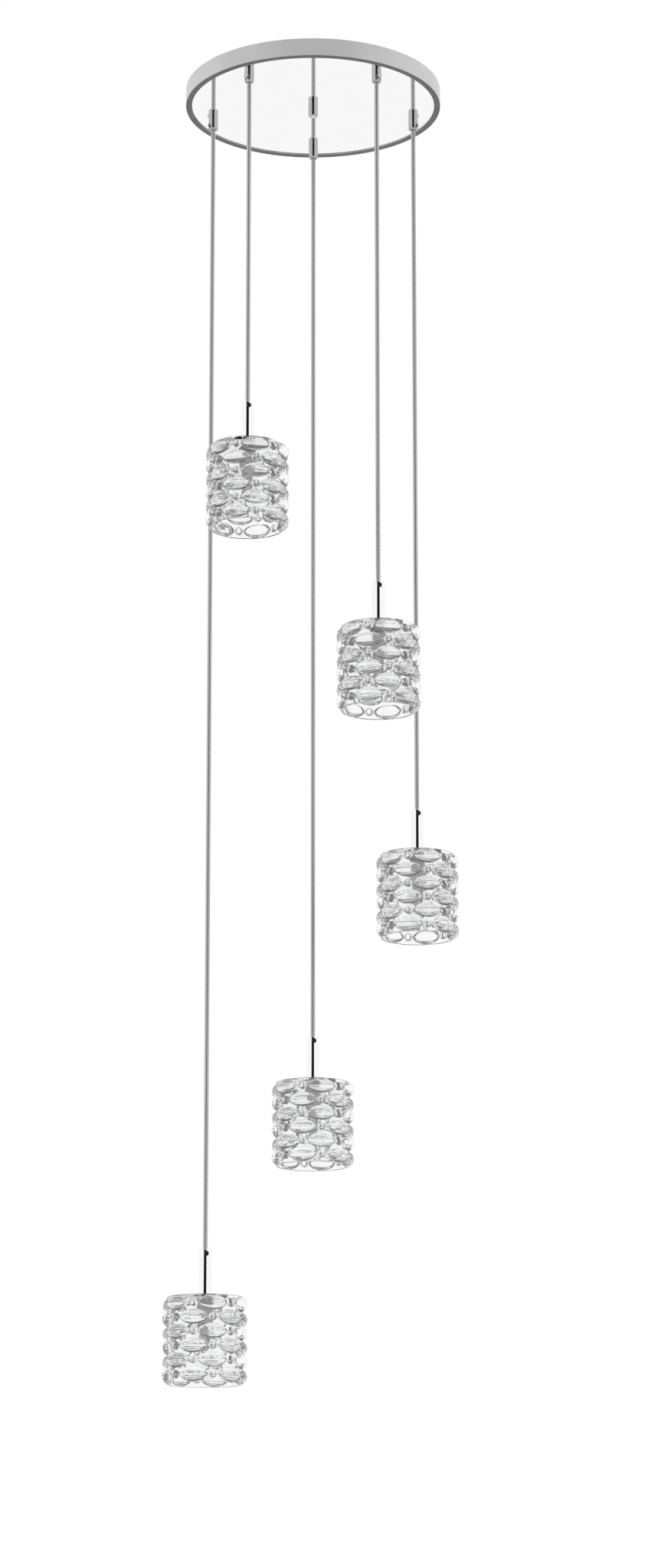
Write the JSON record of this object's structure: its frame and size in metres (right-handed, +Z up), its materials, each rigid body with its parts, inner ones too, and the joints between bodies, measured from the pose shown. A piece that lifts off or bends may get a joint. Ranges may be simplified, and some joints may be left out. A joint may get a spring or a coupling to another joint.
{
  "type": "cluster pendant light",
  "caption": "Ceiling light with a round mirror-faced canopy and clear pressed-glass cup shades hung from it on straight cords at stepped heights.",
  "frame": {"origin": "centre of the ceiling plane, which is the middle of the crossbar's top face", "axes": "+Z up, so the light hangs below the origin; -Y is the front seen in the picture; +X to its right"},
  "size_m": [0.3878, 0.376, 1.767],
  "materials": {
    "satin_rim": "satin nickel plate on spun steel",
    "mirror": "mirror polished",
    "chrome": "bright chrome plate",
    "plated_steel": "zinc plate",
    "brass": "plain",
    "black_screw": "black oxide",
    "white_plastic": "moulded",
    "clear_nylon": "milky clear nylon",
    "cord_jacket": "clear jacket over silver conductors",
    "soft_washer": "silicone",
    "holder_ceramic": "glazed ceramic",
    "lamp_glass": "frosted capsule",
    "clear_glass": "clear pressed crystal glass"
  },
  "bodies": {
    "canopy": {"canopy_pan": "satin_rim", "mirror_plate": "mirror", "ceiling_crossbar": "plated_steel", "centre_stud": "plated_steel", "stud_nut": "plated_steel", "ground_screw": "brass", "junction_box": "white_plastic", "centre_collar": "chrome", "collar_plug": "white_plastic", "cord_grips": "chrome", "grip_bushings": "clear_nylon", "grip_screws": "chrome", "grip_nuts": "plated_steel", "inner_leads": "cord_jacket"},
    "hanging_cord_1": {"cord_1": "cord_jacket"},
    "pendant_1": {"stem_1": "chrome", "stem_screw_1": "black_screw", "nipple_1": "plated_steel", "glass_washers_1": "soft_washer", "shade_nut_1": "plated_steel", "lamp_holder_1": "holder_ceramic", "lamp_1": "lamp_glass", "shade_1": "clear_glass"},
    "hanging_cord_2": {"cord_2": "cord_jacket"},
    "pendant_2": {"stem_2": "chrome", "stem_screw_2": "black_screw", "nipple_2": "plated_steel", "glass_washers_2": "soft_washer", "shade_nut_2": "plated_steel", "lamp_holder_2": "holder_ceramic", "lamp_2": "lamp_glass", "shade_2": "clear_glass"},
    "hanging_cord_3": {"cord_3": "cord_jacket"},
    "pendant_3": {"stem_3": "chrome", "stem_screw_3": "black_screw", "nipple_3": "plated_steel", "glass_washers_3": "soft_washer", "shade_nut_3": "plated_steel", "lamp_holder_3": "holder_ceramic", "lamp_3": "lamp_glass", "shade_3": "clear_glass"},
    "hanging_cord_4": {"cord_4": "cord_jacket"},
    "pendant_4": {"stem_4": "chrome", "stem_screw_4": "black_screw", "nipple_4": "plated_steel", "glass_washers_4": "soft_washer", "shade_nut_4": "plated_steel", "lamp_holder_4": "holder_ceramic", "lamp_4": "lamp_glass", "shade_4": "clear_glass"},
    "hanging_cord_5": {"cord_5": "cord_jacket"},
    "pendant_5": {"stem_5": "chrome", "stem_screw_5": "black_screw", "nipple_5": "plated_steel", "glass_washers_5": "soft_washer", "shade_nut_5": "plated_steel", "lamp_holder_5": "holder_ceramic", "lamp_5": "lamp_glass", "shade_5": "clear_glass"}
  },
  "joints": [
    {"name": "swing_1", "type": "hinge", "parent": "canopy", "child": "hanging_cord_1", "pos_m": [-0.08582, -0.11812, -0.0387], "axis": [0, 1, 0], "range_deg": [-5, 5]},
    {"name": "drop_1", "type": "slide", "parent": "hanging_cord_1", "child": "pendant_1", "axis": [0, 0, 1], "range_m": [0, 0.2], "deforming": ["cord_1"]},
    {"name": "swing_2", "type": "hinge", "parent": "canopy", "child": "hanging_cord_2", "pos_m": [0.08582, -0.11812, -0.0387], "axis": [0, 1, 0], "range_deg": [-5, 5]},
    {"name": "drop_2", "type": "slide", "parent": "hanging_cord_2", "child": "pendant_2", "axis": [0, 0, 1], "range_m": [0, 0.2], "deforming": ["cord_2"]},
    {"name": "swing_3", "type": "hinge", "parent": "canopy", "child": "hanging_cord_3", "pos_m": [0.13885, 0.04512, -0.0387], "axis": [0, 1, 0], "range_deg": [-5, 5]},
    {"name": "drop_3", "type": "slide", "parent": "hanging_cord_3", "child": "pendant_3", "axis": [0, 0, 1], "range_m": [0, 0.2], "deforming": ["cord_3"]},
    {"name": "swing_4", "type": "hinge", "parent": "canopy", "child": "hanging_cord_4", "pos_m": [0, 0.146, -0.0387], "axis": [0, 1, 0], "range_deg": [-5, 5]},
    {"name": "drop_4", "type": "slide", "parent": "hanging_cord_4", "child": "pendant_4", "axis": [0, 0, 1], "range_m": [0, 0.2], "deforming": ["cord_4"]},
    {"name": "swing_5", "type": "hinge", "parent": "canopy", "child": "hanging_cord_5", "pos_m": [-0.13885, 0.04512, -0.0387], "axis": [0, 1, 0], "range_deg": [-5, 5]},
    {"name": "drop_5", "type": "slide", "parent": "hanging_cord_5", "child": "pendant_5", "axis": [0, 0, 1], "range_m": [0, 0.2], "deforming": ["cord_5"]}
  ]
}
